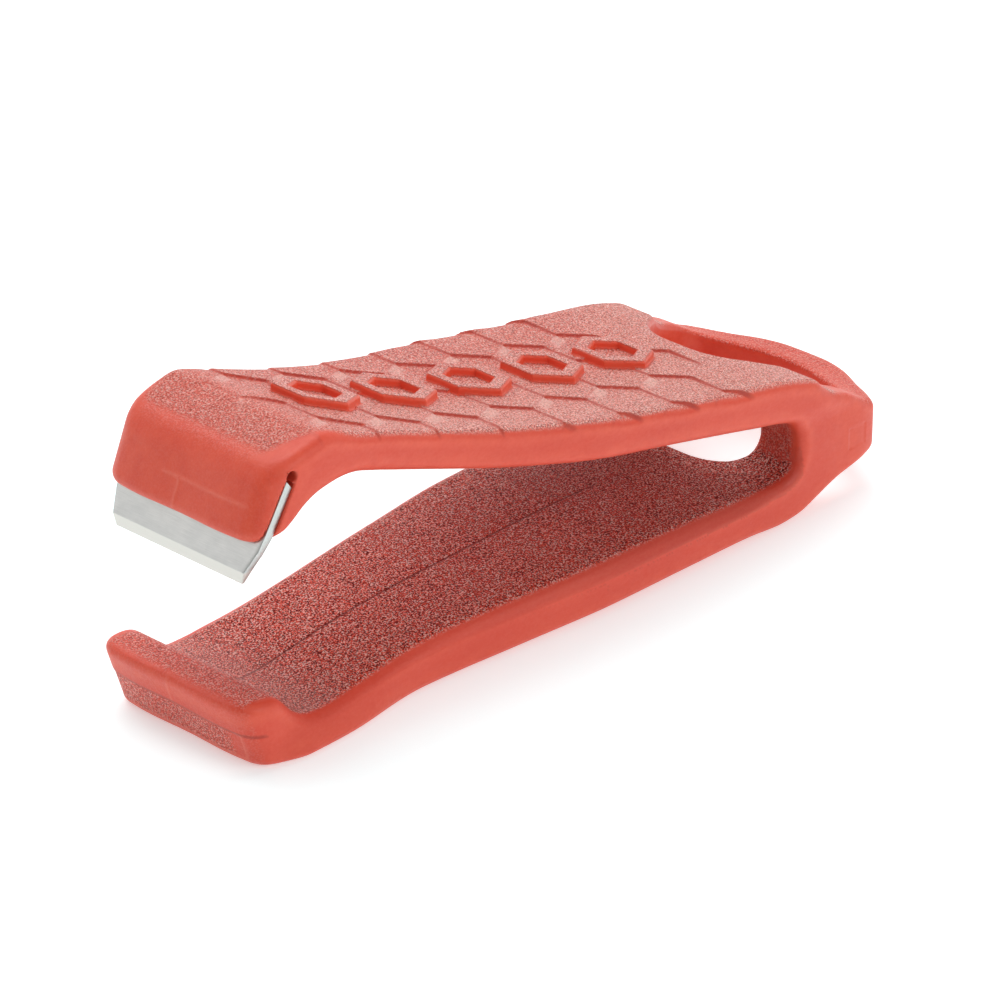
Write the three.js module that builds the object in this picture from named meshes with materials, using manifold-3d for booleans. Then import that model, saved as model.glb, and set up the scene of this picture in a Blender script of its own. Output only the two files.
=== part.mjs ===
// Pocket line nipper: a one-piece moulded squeeze body (two sprung arms joined
// by a bow with a lanyard opening) and a thin steel cutting blade pressed into
// a slot across the upper jaw. The body is built as three zones with thin gaps.
// Millimetres, +Z up, jaw toward -X, bow toward +X. The body outline is
// symmetric about y = 0 and the flat underside rests on z = 0. Everything is
// drawn with x = 0 near the jaw, then moved to centre the length on the origin.
import * as THREE from 'three';
import { mergeVertices } from 'three/addons/utils/BufferGeometryUtils.js';
import Module from 'manifold-3d';

const { degToRad, smoothstep } = THREE.MathUtils;

// ------------------------------------------------------------ body dimensions
const HINGE = { x: 53.3, z: 6.2 };   // centre of the C-bend the arms flex about
const FLEX_R = 4.6;                  // zone line between upper arm and bow
const ARM_SPLIT_X = 48.15;           // zone line between lower arm and bow
const GAP = 0.3;                     // between zones, and each side of the blade
const MOUTH_FRONT = { x: -10, z: 11 };   // the mouth's dividing line starts here,
const MOUTH_REAR_X = 46;                 // and is level from here to the hinge
const UPPER_ARM = {
  extra: 0.28,                       // added to each side of the plan outline,
  growFrom: 14,                      // easing in between these two x values
  growTo: 30,
};

// plan rounding of each jaw's front corners: front face x, half width, height span
const CORNER_R = 1.4;
const CORNER_MARGIN = 3;             // how far the cut reaches outside the corner
const CORNER_STEPS = 5;
const LOWER_CORNERS = { front: -1.3, half: 7.3, bottom: -2, top: 8 };
const UPPER_CORNERS = { front: -0.6, half: 7.28, bottom: 10, top: 26 };

// region outside one tapered flank of the lower jaw, (y, z)
const FLANK_FOOT = 7.95;             // half width at z = 0
const FLANK_TOP = 6.9;               // half width at the top of the anvil lip
const FLANK_CUT = [[FLANK_FOOT, -1], [FLANK_FOOT, 0], [FLANK_TOP, 5.2],
  [FLANK_TOP - 0.1, 6], [12, 6], [12, -1]];
const FLANK_X = { front: -3.5, rear: 6 };

// Cutting solids reach past the body on every side.
const REACH_Y = 12;
const REACH_BOTTOM = -2;
const REACH_TOP = 26;

// Side profile of the body, (x, z), counter-clockwise from the lower jaw.
const UNDERSIDE = [[-0.3, 0], [49.2, 0], [51.4, 0.38], [53.0, 0.95], [54.6, 1.55],
  [56.8, 2.15], [59, 2.6], [66, 3.2]];
const LOOP_TOP = [[66, 6.2], [59.5, 6.72], [57.8, 7.2], [56.3, 7.85], [55.0, 8.5],
  [54.1, 9.1], [53.3, 9.85], [52.4, 10.65], [51.0, 11.2]];
const UPPER_OUTER = [[43.6, 12.82], [38, 13.92], [34, 14.72], [30.2, 15.55], [25.4, 16.63],
  [21.9, 17.5], [16.8, 19.0], [12.7, 20.34], [9.2, 21.55], [7.2, 22.28], [6.5, 22.5],
  [5.8, 22.6], [4.6, 22.4], [3.2, 21.85], [1.6, 21.1], [0.6, 20.5]];
const UPPER_INNER = [[-0.95, 16.68], [1.2, 16.7], [2.2, 16.85], [3.0, 17.3], [3.9, 17.95],
  [4.9, 18.42], [6.2, 18.68], [7.6, 18.76], [8.8, 18.62], [10.5, 18.08], [12.7, 17.3],
  [17, 15.85], [21.4, 14.5], [24.9, 13.57], [28.4, 12.7], [32.1, 11.92], [36.5, 11.08],
  [40.5, 10.25], [45.8, 9.1], [48.9, 8.38]];
const BEND_INNER = [[50.1, 7.9], [50.8, 7.1], [51.05, 6.0], [50.95, 4.95], [50.5, 4.1],
  [49.6, 3.65], [48.2, 3.55]];
const LOWER_INNER = [[46, 3.6], [41, 3.85], [36, 4.0], [30.4, 4.0], [26, 3.9], [21.4, 3.82],
  [17, 3.65], [12.5, 3.3], [8.5, 2.75], [5.8, 2.42], [5.0, 2.42], [4.2, 2.6], [3.0, 3.2],
  [2.1, 4.2], [1.2, 4.95], [0.3, 5.15], [-2.0, 5.15]];

// Plan outline, (x, half width), front to rear.
const PLAN_HALF = [[-3, 7.2], [0, 7.3], [2, 7.45], [4, 7.5], [6, 7.45], [9, 7.3], [12.5, 7.2],
  [15, 7.25], [18, 7.5], [21.9, 7.95], [25.4, 8.35], [28, 8.65], [31, 8.95], [34, 9.1],
  [38, 9.22], [44, 9.35], [50, 9.45], [55, 9.52], [58.2, 9.55]];
const PLAN_REAR = [[59.0, 9.3], [59.8, 8.4], [61.0, 6.3], [62.3, 3.9], [62.75, 2.2]];
const REAR_TIP = [62.85, 0];
// Lanyard opening, (x, half width), front to rear.
const OPENING_HALF = [[48.35, 0], [48.42, 1.7], [48.8, 2.9], [49.5, 3.9], [50.4, 4.65],
  [51.3, 5.25], [52.4, 6.0], [53.8, 6.7], [55.6, 7.1], [57.0, 7.1], [57.9, 6.6],
  [58.6, 5.3], [59.4, 3.4], [59.9, 1.6], [60.0, 0]];

// middle of the overall length, from the lower lip to the rear tip
const CENTRE_X = (LOWER_INNER.at(-1)[0] + REAR_TIP[0]) / 2;

// ------------------------------------------------------------------- helpers
const wasm = await Module();
wasm.setup();

function toManifold(geometry) {
  geometry.deleteAttribute('normal');
  geometry.deleteAttribute('uv');
  const merged = mergeVertices(geometry, 1e-4);
  return new wasm.Manifold(new wasm.Mesh({
    numProp: 3,
    vertProperties: new Float32Array(merged.attributes.position.array),
    triVerts: new Uint32Array(merged.index.array),
  }));
}

function toGeometry(solid) {
  const mesh = solid.getMesh();
  const indexed = new THREE.BufferGeometry();
  indexed.setAttribute('position', new THREE.BufferAttribute(mesh.vertProperties, 3));
  indexed.setIndex(new THREE.BufferAttribute(mesh.triVerts, 1));
  const flat = indexed.toNonIndexed();
  flat.computeVertexNormals();
  return flat;
}

function extrude(points, depth) {
  const shape = new THREE.Shape();
  points.forEach(([x, y], i) => (i ? shape.lineTo(x, y) : shape.moveTo(x, y)));
  shape.closePath();
  return new THREE.ExtrudeGeometry(shape, { depth, bevelEnabled: false });
}

// (x, z) outline, extruded along y across the whole width
function sideExtrude(points) {
  const geometry = extrude(points, 2 * REACH_Y);
  geometry.rotateX(Math.PI / 2);
  geometry.translate(0, REACH_Y, 0);
  return toManifold(geometry);
}

// (x, y) outline, extruded along z
function planExtrude(points, bottom = REACH_BOTTOM, top = REACH_TOP) {
  const geometry = extrude(points, top - bottom);
  geometry.translate(0, 0, bottom);
  return toManifold(geometry);
}

// (y, z) outline, extruded along x
function frontExtrude(points, front, rear) {
  const geometry = extrude(points, rear - front);
  geometry.rotateX(Math.PI / 2);
  geometry.rotateZ(Math.PI / 2);
  geometry.translate(front, 0, 0);
  return toManifold(geometry);
}

// cylinder along y
function crossCylinder({ x, z }, radius, segments = 48) {
  const geometry = new THREE.CylinderGeometry(radius, radius, 2 * REACH_Y, segments);
  geometry.translate(x, 0, z);
  return toManifold(geometry);
}

// full-height block between two x and two y values
function block(x0, x1, y0 = -REACH_Y, y1 = REACH_Y) {
  const geometry = new THREE.BoxGeometry(x1 - x0, y1 - y0, REACH_TOP - REACH_BOTTOM);
  geometry.translate((x0 + x1) / 2, (y0 + y1) / 2, (REACH_BOTTOM + REACH_TOP) / 2);
  return toManifold(geometry);
}

// hexagon with corners toward +y and -y
function hexagon(x, y, radius) {
  return Array.from({ length: 6 }, (_, i) => {
    const angle = Math.PI / 6 + (i * Math.PI) / 3;
    return [x + radius * Math.cos(angle), y + radius * Math.sin(angle)];
  });
}

const flipY = ([x, y]) => [x, -y];

// ----------------------------------------------------------- the moulded body
function planOutline(extra) {
  const { growFrom, growTo } = UPPER_ARM;
  const grown = PLAN_HALF.map(([x, y]) => [x, y + extra * smoothstep(x, growFrom, growTo)]);
  const half = [...grown, ...PLAN_REAR];
  return [...half.map(flipY).reverse(), ...half, REAR_TIP];
}

function openingOutline() {
  const flank = OPENING_HALF.slice(1, -1);
  return [OPENING_HALF[0], ...flank.map(flipY), OPENING_HALF.at(-1), ...flank.reverse()];
}

// the undivided body, with its upper arm widened by extra on each side
function wholeBody(extra) {
  const profile = [...UNDERSIDE, ...LOOP_TOP, ...UPPER_OUTER, ...UPPER_INNER,
    ...BEND_INNER, ...LOWER_INNER];
  return sideExtrude(profile)
    .intersect(planExtrude(planOutline(extra)))
    .subtract(planExtrude(openingOutline()));
}

// the region above the mouth, in front of the hinge centre
function regionAboveMouth() {
  const top = 40;
  return sideExtrude([[MOUTH_FRONT.x, MOUTH_FRONT.z], [MOUTH_REAR_X, HINGE.z],
    [HINGE.x, HINGE.z], [HINGE.x, top], [MOUTH_FRONT.x, top]]);
}

function roundFrontCorners(solid, { front, half, bottom, top }) {
  const centreX = front + CORNER_R;
  const centreY = half - CORNER_R;
  const outline = [[front - CORNER_MARGIN, centreY], [front, centreY]];
  for (let i = 1; i <= CORNER_STEPS; i++) {
    const angle = (i / CORNER_STEPS) * Math.PI / 2;
    outline.push([centreX - CORNER_R * Math.cos(angle), centreY + CORNER_R * Math.sin(angle)]);
  }
  outline.push([centreX, half + CORNER_MARGIN], [front - CORNER_MARGIN, half + CORNER_MARGIN]);
  return solid
    .subtract(planExtrude(outline, bottom, top))
    .subtract(planExtrude(outline.map(flipY), bottom, top));
}

// flat underside, floor, and the raised anvil lip at the jaw
function makeLowerArm() {
  const flankCut = frontExtrude(FLANK_CUT, FLANK_X.front, FLANK_X.rear);
  const arm = wholeBody(0)
    .subtract(regionAboveMouth())
    .intersect(block(-5, ARM_SPLIT_X - GAP / 2))
    .subtract(flankCut)
    .subtract(flankCut.mirror([0, 1, 0]));
  return roundFrontCorners(arm, LOWER_CORNERS);
}

// the C-bend and the lanyard loop behind it
function makeSpringBow() {
  const upperArmZone = regionAboveMouth().subtract(crossCylinder(HINGE, FLEX_R - GAP / 2));
  return wholeBody(0)
    .subtract(upperArmZone)
    .intersect(block(ARM_SPLIT_X + GAP / 2, 70));
}

// the pressed arm with the cutter jaw, the blade slot and the patterned top
function makeUpperArm() {
  const arm = wholeBody(UPPER_ARM.extra)
    .intersect(regionAboveMouth())
    .subtract(crossCylinder(HINGE, FLEX_R + GAP / 2));
  return roundFrontCorners(arm, UPPER_CORNERS)
    .subtract(bladeSlot())
    .subtract(gripLines())
    .add(hexagonRings());
}

// ---------------------------------------------------------- the blade and slot
const BLADE = {
  thickness: 0.6,
  tilt: degToRad(30),                // from vertical, edge forward
  face: { x: -0.15, z: 15.42 },      // a point on the front face
  edgeZ: 13.9,                       // height of the cutting edge
  edgeFlat: 0.05,                    // width of the flat along the edge
  edgeSetback: 0.18,                 // edge to foot of back face, along the blade
  backFootZ: 13.9 + 0.32,            // front-face height of the back face's foot
  grindZ: 14.5,                      // top of the bevel on the front face
  topZ: 19.95,                       // front-face height of the buried end
};
// outline seen from the front, (y, half only, z), up the +y side;
// the bottom and top points lie past the ends of the blade
const BLADE_HALF = [[6.15, 13], [6.15, BLADE.edgeZ], [6.95, 16.6], [6.95, 22]];
const BLADE_REACH_X = { front: -6, rear: 10 };
const SLOT_Z = { from: 12, to: 20.55 };   // front-face heights of the slot's ends
const SLOT_END = { x: 3.1, z: 20.6, radius: 0.5, segments: 20 };

// The (x, z) point at height z on the blade's front face, moved by depth at
// right angles to that face, toward the back.
function bladePoint(z, depth = 0) {
  const along = (z - BLADE.face.z) / Math.cos(BLADE.tilt);
  return [
    BLADE.face.x + along * Math.sin(BLADE.tilt) + depth * Math.cos(BLADE.tilt),
    z - depth * Math.sin(BLADE.tilt),
  ];
}

function bladeSlot() {
  const back = BLADE.thickness + GAP;
  return sideExtrude([
    bladePoint(SLOT_Z.from, -GAP),
    bladePoint(SLOT_Z.from, back),
    bladePoint(SLOT_Z.to, back),
    bladePoint(SLOT_Z.to, -GAP),
  ]).add(crossCylinder(SLOT_END, SLOT_END.radius, SLOT_END.segments));
}

function makeBlade() {
  const backFoot = bladePoint(BLADE.backFootZ, BLADE.thickness);
  const edgeX = backFoot[0] - Math.sin(BLADE.tilt) * BLADE.edgeSetback;
  const side = [
    [edgeX - BLADE.edgeFlat, BLADE.edgeZ],
    [edgeX, BLADE.edgeZ],
    backFoot,
    bladePoint(BLADE.topZ, BLADE.thickness),
    bladePoint(BLADE.topZ),
    bladePoint(BLADE.grindZ),
  ];
  const mirrored = BLADE_HALF.map(([y, z]) => [-y, z]).reverse();
  return sideExtrude(side).intersect(
    frontExtrude([...BLADE_HALF, ...mirrored], BLADE_REACH_X.front, BLADE_REACH_X.rear));
}

// --------------------------------------------------- pattern on the top panel
const RING = {
  count: 5,
  radius: 3.05,                      // to the outer corners
  wall: 1.3,                         // measured on the corner radius
  pitch: 7.3,
  firstX: 12.4,
  y: 0.35,
  rise: 0.5,                         // above the top surface
  root: 0.4,                         // below it, to join the arm
};
const GRIP = {
  pitch: 5.4,                        // hexagon tiles, across flats
  line: 0.34,                        // line width
  depth: 0.16,
  columns: 9,
  firstX: 8.7,                       // first tile of the even rows
  y: 2.42,                           // centre line of row 0
  firstRow: -3,
  lastRow: 2,
  innerY: 4.55,                      // inner side of both bands
  rearX: 45.2,
  frontXPlus: 9.2,                   // front end of the band on the +y side
  frontXMinus: 11.8,                 // and on the -y side
};

// the space between two copies of the upper arm's top line, moved up or down
function besideTop(from, to) {
  const line = [LOOP_TOP.at(-1), ...UPPER_OUTER];
  const low = line.map(([x, z]) => [x, z + from]).reverse();
  const high = line.map(([x, z]) => [x, z + to]);
  return sideExtrude([...low, ...high]);
}

// a row of raised hexagon rings down the middle
function hexagonRings() {
  return Array.from({ length: RING.count }, (_, i) => {
    const x = RING.firstX + i * RING.pitch;
    return planExtrude(hexagon(x, RING.y, RING.radius))
      .subtract(planExtrude(hexagon(x, RING.y, RING.radius - RING.wall)));
  })
    .reduce((row, ring) => row.add(ring))
    .intersect(besideTop(-RING.root, RING.rise));
}

// sunk hexagon lines: a band on each side of the rings, less its tiles
function gripLines() {
  const cellRadius = GRIP.pitch / Math.sqrt(3);
  const tileRadius = cellRadius - GRIP.line / Math.sqrt(3);
  let lines = block(GRIP.frontXPlus, GRIP.rearX, GRIP.innerY, REACH_Y)
    .add(block(GRIP.frontXMinus, GRIP.rearX, -REACH_Y, -GRIP.innerY));
  for (let row = GRIP.firstRow; row <= GRIP.lastRow; row++) {
    const y = GRIP.y + row * 1.5 * cellRadius;
    const rowX = row % 2 === 0 ? GRIP.firstX : GRIP.firstX - GRIP.pitch / 2;
    for (let column = 0; column < GRIP.columns; column++) {
      const x = rowX + column * GRIP.pitch;
      lines = lines.subtract(planExtrude(hexagon(x, y, tileRadius)));
    }
  }
  return lines.intersect(besideTop(-GRIP.depth, 3));
}

// ------------------------------------------------------ materials and assembly
const redPlastic = () => new THREE.MeshStandardMaterial({
  color: 0xe2442f, roughness: 0.5, metalness: 0.0,
});
const bladeSteel = () => new THREE.MeshStandardMaterial({
  color: 0xb9b6b2, roughness: 0.3, metalness: 1.0,
});

const nipper = new THREE.Group();
nipper.name = 'line_nipper';

function addPart(name, solid, material) {
  const geometry = toGeometry(solid);
  geometry.translate(-CENTRE_X, 0, 0);
  const mesh = new THREE.Mesh(geometry, material);
  mesh.name = name;
  nipper.add(mesh);
}

addPart('lower_arm', makeLowerArm(), redPlastic());
addPart('spring_bow', makeSpringBow(), redPlastic());
addPart('upper_arm', makeUpperArm(), redPlastic());
addPart('cutter_blade', makeBlade(), bladeSteel());

export default nipper;
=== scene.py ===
# Pocket line nipper: a moulded squeeze body with a thin steel blade across the
# upper jaw. Drawing sizes are millimetres in the part's own frame: jaw at x = 0,
# bow toward +x, width along y, table at z = 0. to_row() shifts them onto the CAD
# box and turns them into metres when a mesh is made.
import math
import bpy
import bmesh
import numpy as np
from mathutils import Matrix, Vector


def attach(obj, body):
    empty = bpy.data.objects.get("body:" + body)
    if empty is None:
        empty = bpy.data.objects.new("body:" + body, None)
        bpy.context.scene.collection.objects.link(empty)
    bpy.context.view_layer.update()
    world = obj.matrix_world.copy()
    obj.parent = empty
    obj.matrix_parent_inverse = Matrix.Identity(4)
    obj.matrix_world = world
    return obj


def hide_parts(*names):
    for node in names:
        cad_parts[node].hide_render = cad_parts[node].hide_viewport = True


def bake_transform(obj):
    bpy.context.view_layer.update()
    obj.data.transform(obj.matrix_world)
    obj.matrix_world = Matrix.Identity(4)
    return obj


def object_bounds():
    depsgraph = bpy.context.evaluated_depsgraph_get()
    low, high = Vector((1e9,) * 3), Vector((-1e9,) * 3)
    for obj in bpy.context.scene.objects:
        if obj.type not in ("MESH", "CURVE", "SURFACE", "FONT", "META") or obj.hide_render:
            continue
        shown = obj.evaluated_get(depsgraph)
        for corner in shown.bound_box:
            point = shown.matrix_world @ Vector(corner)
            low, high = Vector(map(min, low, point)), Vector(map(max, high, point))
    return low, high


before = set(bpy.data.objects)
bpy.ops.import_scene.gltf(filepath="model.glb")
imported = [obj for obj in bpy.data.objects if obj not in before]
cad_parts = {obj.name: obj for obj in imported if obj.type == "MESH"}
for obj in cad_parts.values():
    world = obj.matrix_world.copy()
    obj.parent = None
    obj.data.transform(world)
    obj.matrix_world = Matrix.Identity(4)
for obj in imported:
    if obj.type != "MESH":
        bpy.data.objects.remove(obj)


def box_corners():
    return [list(map(float, corner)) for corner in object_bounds()]


BOX_START = box_corners()
GRID = 0.09      # spacing of the flat distance tables
CELL = 0.135     # spacing of the body's sampling lattice

# ------------------------------------------------------------------ side profile
# columns: x, z; a third value of 1 marks a hard corner
UNDERSIDE = [
    (-6, 0, 1), (0, 0), (10, 0.0), (20, 0.15), (30, 0.3), (40, 0.4), (46, 0.35), (49.6, 0.15),
    (51.4, 0.38), (53.0, 0.95), (54.6, 1.55), (56.8, 2.15), (59, 2.6), (66, 3.2, 1),
]
REAR_TOP = [
    (66, 6.2, 1), (59.5, 6.74), (58.3, 7.06), (57.3, 7.6), (56.3, 8.2), (55.2, 8.7),
]
TOP_LINE = [
    (54.1, 9.22), (53.3, 9.82), (52.4, 10.65), (51.0, 11.2), (43.6, 12.82), (38, 13.92),
    (34, 14.72), (30.2, 15.55), (27.5, 16.18), (25.4, 16.63), (21.9, 17.5), (16.8, 19.0),
    (12.7, 20.34), (9.2, 21.55), (7.2, 22.28), (5.8, 22.58), (4.6, 22.34), (3.2, 22.0),
    (1.6, 21.48), (0, 20.85), (-6, 18.4, 1),
]
UPPER_ARM_UNDERSIDE = [
    (-6, 16.5, 1), (-0.6, 16.68), (1.2, 16.7), (2.2, 16.85), (3.0, 17.3), (3.9, 17.95),
    (4.9, 18.42), (6.2, 18.68), (7.6, 18.76), (8.8, 18.62), (10.5, 18.08), (12.7, 17.3),
    (17, 15.85), (21.4, 14.5), (24.9, 13.57), (28.4, 12.7), (32.1, 11.92), (36.5, 11.08),
    (40.5, 10.25), (45.8, 9.1), (48.9, 8.38), (50.1, 7.9),
]
BOW_INSIDE = [
    (50.8, 7.1), (51.05, 6.0), (50.95, 4.95), (50.5, 4.1), (49.6, 3.65), (48.2, 3.55),
]
LOWER_ARM_TOP = [
    (46, 3.6), (41, 3.85), (36, 4.0), (30.4, 4.0), (26, 3.9), (21.4, 3.82), (17, 3.65),
    (12.5, 3.3), (8.5, 2.75), (5.8, 2.42), (4.2, 2.55), (3.0, 3.2), (2.1, 4.2), (1.2, 4.93),
    (0.3, 5.12), (-0.4, 5.17), (-1.2, 5.18), (-2.4, 5.18), (-6, 5.18, 1),
]
PROFILE = UNDERSIDE + REAR_TOP + TOP_LINE + UPPER_ARM_UNDERSIDE + BOW_INSIDE + LOWER_ARM_TOP

# -------------------------------------------------------------------------- plan
# columns: x, half width; symmetric about y = 0
PLAN_FRONT = [(0, 0, 1), (0, 5.1), (0.12, 6.0), (0.55, 6.75), (1.3, 7.2), (2.2, 7.34)]
PLAN_FRONT_END = 2.25       # the flank curve takes over behind this x
PLAN_FLANK = [
    (0, 7.2), (2, 7.33), (4, 7.4), (6, 7.38), (9, 7.27), (12.5, 7.18), (15, 7.25), (18, 7.5),
    (21.9, 7.95), (25.4, 8.35), (28, 8.65), (31, 8.95), (34, 9.1), (38, 9.22), (44, 9.35),
    (50, 9.45), (55, 9.5), (58.2, 9.5),
]
PLAN_REAR = [(59.0, 9.3), (59.8, 8.4), (61.0, 6.3), (62.3, 3.9), (62.75, 2.2), (62.85, 0)]
# lanyard opening in the rear loop
OPENING = [
    (48.35, 0), (48.42, 1.7), (48.8, 2.9), (49.5, 3.9), (50.4, 4.65), (51.3, 5.25),
    (52.4, 6.0), (53.8, 6.7), (55.6, 7.1), (57.0, 7.1), (57.9, 6.6), (58.6, 5.3),
    (59.4, 3.4), (59.9, 1.6), (60.0, 0),
]
EDGE_R = 0.75               # soft edge along both flanks
JAW_EDGE_R = 0.10           # added to it over the upper jaw
MOUTH_EDGE_R = 0.62         # added to it between the arms
OPENING_R = 0.5             # soft edge round the lanyard opening

# ------------------------------------------------------------------ blade and slot
HINGE_X = 53.3
HINGE_Z = (6.0, 8.35)       # base and upper heights at the hinge
BLADE_T = 0.68
EDGE_Z = 13.98              # the cutting edge at rest; it stops just clear of the lip
EDGE_HALF_T = 0.02
BLADE_FRONT = (-0.62, 15.42)                # x, z of a point on the front face
TILT = math.radians(30.0)
UP = (math.sin(TILT), math.cos(TILT))       # up the blade
THRU = (math.cos(TILT), -math.sin(TILT))    # through it, front face to back face
BLADE_FRONT_Z = (20.5, 19.4, 18.3, 17.3, 16.3, 15.5, 15.06, 14.86)
BLADE_BACK_Z = (14.32, 15.3, 16.2, 17.2, 18.2, 19.2, 20.24)
GRIND_STEPS = (0.12, 0.5, 0.88)             # stations down the ground face
BLADE_Y_STEPS = 41
# half width at each height: flush with the slot's -y mouth, short of the +y one
BLADE_WIDTH_Z = (13.86, 14.5, 16.5, 20.4)
BLADE_MINUS_Y = (6.17, 6.34, 7.10, 7.24)
BLADE_PLUS_Y = (5.62, 5.72, 6.40, 6.95)
SLOT_CLEAR = 0.04
SLOT_TOP = 20.55
SLOT_END = (2.76, 20.71, 0.40)              # x, z and radius of the round slot end
SLOT_EDGE_R = 0.07

# ------------------------------------------------------------------ top of the arm
RING_COUNT, RING_PITCH, RING_X0, RING_Y = 5, 7.3, 12.4, 0.35
RING_R, RING_WALL, RING_RISE = 3.05, 1.3, 0.5

TILE = 5.4                  # hexagon tiles across flats
TILE_R = TILE / math.sqrt(3.0)
TILE_ROW = 1.5 * TILE_R
TILE_X0, TILE_Y0 = 8.55, 2.42
TILE_SKEW = 0.05            # x drift of the rows per mm of y
TILE_STEP = 0.20            # how far a tile's +x +y corner sits under its neighbour

MARK = 0.05                 # size of the mould's flash lines
LIP_SLOPE = 0.018           # rise of the lower lip's step per mm of y


# ------------------------------------------------------------------- field tools
def to_row(points):
    """drawing millimetres to metres in the CAD row"""
    points = np.asarray(points, float).copy()
    points[..., 0] += BOX_START[1][0] * 1000.0 - PLAN_REAR[-1][0]
    return points / 1000.0


def spline(stations, closed=True):
    """points along a smooth curve through the stations, about 0.4 mm apart"""
    tiny = 1e-9
    points = [np.array(station[:2], float) for station in stations]
    hard = [len(station) == 3 for station in stations]
    count = len(points)

    def direction(before, here, after):
        into = np.linalg.norm(here - before)
        away = np.linalg.norm(after - here)
        if into < tiny or away < tiny:
            return (after - before) / max(np.linalg.norm(after - before), tiny)
        return ((here - before) / into * away + (after - here) / away * into) / (into + away)

    curve = []
    for i in range(count if closed else count - 1):
        if closed:
            around = [(i + k) % count for k in (-1, 0, 1, 2)]
        else:
            around = [max(i - 1, 0), i, i + 1, min(i + 2, count - 1)]
        before, start, end, beyond = (points[j] for j in around)
        length = np.linalg.norm(end - start)
        straight = (end - start) / length
        leave = straight if hard[i] else direction(before, start, end)
        arrive = straight if hard[around[2]] else direction(start, end, beyond)
        leave, arrive = leave * length, arrive * length
        parts = min(max(int(math.ceil(length / 0.4)), 2), 14)
        for k in range(parts):
            s = k / parts
            curve.append((2 * s**3 - 3 * s**2 + 1) * start + (s**3 - 2 * s**2 + s) * leave
                         + (-2 * s**3 + 3 * s**2) * end + (s**3 - s**2) * arrive)
    if not closed:
        curve.append(points[-1])
    return np.array(curve)


def outline_distance(x, y, outline):
    """signed distance to a closed outline, negative inside"""
    x, y = x.ravel(), y.ravel()
    nearest = np.full(len(x), 1e9)
    inside = np.zeros(len(x), bool)
    for (x0, y0), (x1, y1) in zip(outline, np.roll(outline, -1, 0)):
        run, rise = x1 - x0, y1 - y0
        square = run * run + rise * rise
        if square < 1e-12:
            continue
        from_x, from_y = x - x0, y - y0
        along = np.clip((from_x * run + from_y * rise) / square, 0, 1)
        off_x, off_y = from_x - run * along, from_y - rise * along
        nearest = np.minimum(nearest, off_x * off_x + off_y * off_y)
        if abs(rise) > 1e-12:
            crosses = ((y0 <= y) & (y1 > y)) | ((y1 <= y) & (y0 > y))
            inside ^= crosses & (x < x0 + from_y * run / rise)
    nearest = np.sqrt(nearest)
    return np.where(inside, -nearest, nearest)


class Table:
    """an outline's distance kept on a grid, read back by bilinear mixing"""

    def __init__(self, x0, x1, y0, y1, outline):
        self.x0, self.y0 = x0, y0
        self.columns = int(round((x1 - x0) / GRID)) + 1
        self.rows = int(round((y1 - y0) / GRID)) + 1
        x, y = np.meshgrid(x0 + GRID * np.arange(self.columns),
                           y0 + GRID * np.arange(self.rows), indexing="ij")
        self.values = outline_distance(x, y, outline).reshape(self.columns, self.rows)

    def __call__(self, x, y):
        x = np.clip((x - self.x0) / GRID, 0, self.columns - 1.001)
        y = np.clip((y - self.y0) / GRID, 0, self.rows - 1.001)
        i, j = x.astype(np.int32), y.astype(np.int32)
        x, y = x - i, y - j
        values = self.values
        return (values[i, j] * (1 - x) * (1 - y) + values[i + 1, j] * x * (1 - y)
                + values[i, j + 1] * (1 - x) * y + values[i + 1, j + 1] * x * y)


def both(a, b, radius):
    """inside both, with the outer edge rounded"""
    over_a, over_b = np.maximum(a + radius, 0), np.maximum(b + radius, 0)
    return (np.minimum(np.maximum(a + radius, b + radius), 0)
            + np.sqrt(over_a * over_a + over_b * over_b) - radius)


def join(a, b, fillet):
    """inside either, with a small fillet"""
    near = np.maximum(fillet - np.abs(a - b), 0) / fillet
    return np.minimum(a, b) - near * near * fillet * 0.25


def step(start, end, value):
    """smooth rise from 0 to 1"""
    t = np.clip((value - start) / (end - start), 0, 1)
    return t * t * (3 - 2 * t)


def drop(start, end, value):
    """smooth fall from 1 to 0"""
    return 1 - step(start, end, value)


def bump(offset, width):
    return np.exp(-(offset / width) ** 2)


# -------------------------------------------------------------------- body field
def closed_outline(half):
    mirrored = half[::-1].copy()
    mirrored[:, 1] *= -1
    return np.vstack([half, mirrored[1:-1]])


flank = spline(PLAN_FLANK + PLAN_REAR, closed=False)
plan_half = np.vstack([spline(PLAN_FRONT, closed=False), flank[flank[:, 0] > PLAN_FRONT_END]])
top_curve = spline(TOP_LINE, closed=False)
top_curve = top_curve[np.argsort(top_curve[:, 0])]
side_distance = Table(-4, 66, -2, 26, spline(PROFILE))
plan_distance = Table(-6, 66, 0, 12, closed_outline(plan_half))
opening_distance = Table(40, 66, 0, 12, closed_outline(spline(OPENING, closed=False)))


def above_top(x, z):
    """height over the top line"""
    return z - np.interp(x, top_curve[:, 0], top_curve[:, 1])


def in_upper_jaw(x, z):
    return (x < 5.5) & (z > 12)


def on_upper_arm(x, z):
    return (z > 9.5) & (x > 3.0) & (x < 47.5)


def front_x(z):
    """x of the front faces: the lower jaw leans forward, the upper one back"""
    lower = -0.3 - 0.33 * np.clip(z, 0, 5.2)
    upper = -0.95 + np.clip(z - 16.6, -1, 8) * 0.43
    t = np.clip((z - 8) / 6.0, 0, 1)
    return lower * (1 - t) + upper * t


def widen(x, z):
    """extra half width along the upper arm and at the sides of the lower jaw"""
    upper = step(7, 9, z) * 0.30 * step(14, 30, x)
    jaw = 0.62 - 1.15 * step(0.0, 4.2, z)
    return upper + drop(5, 7, z) * drop(7, 15, x) * jaw * step(0.6, 3.6, x)


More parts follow.
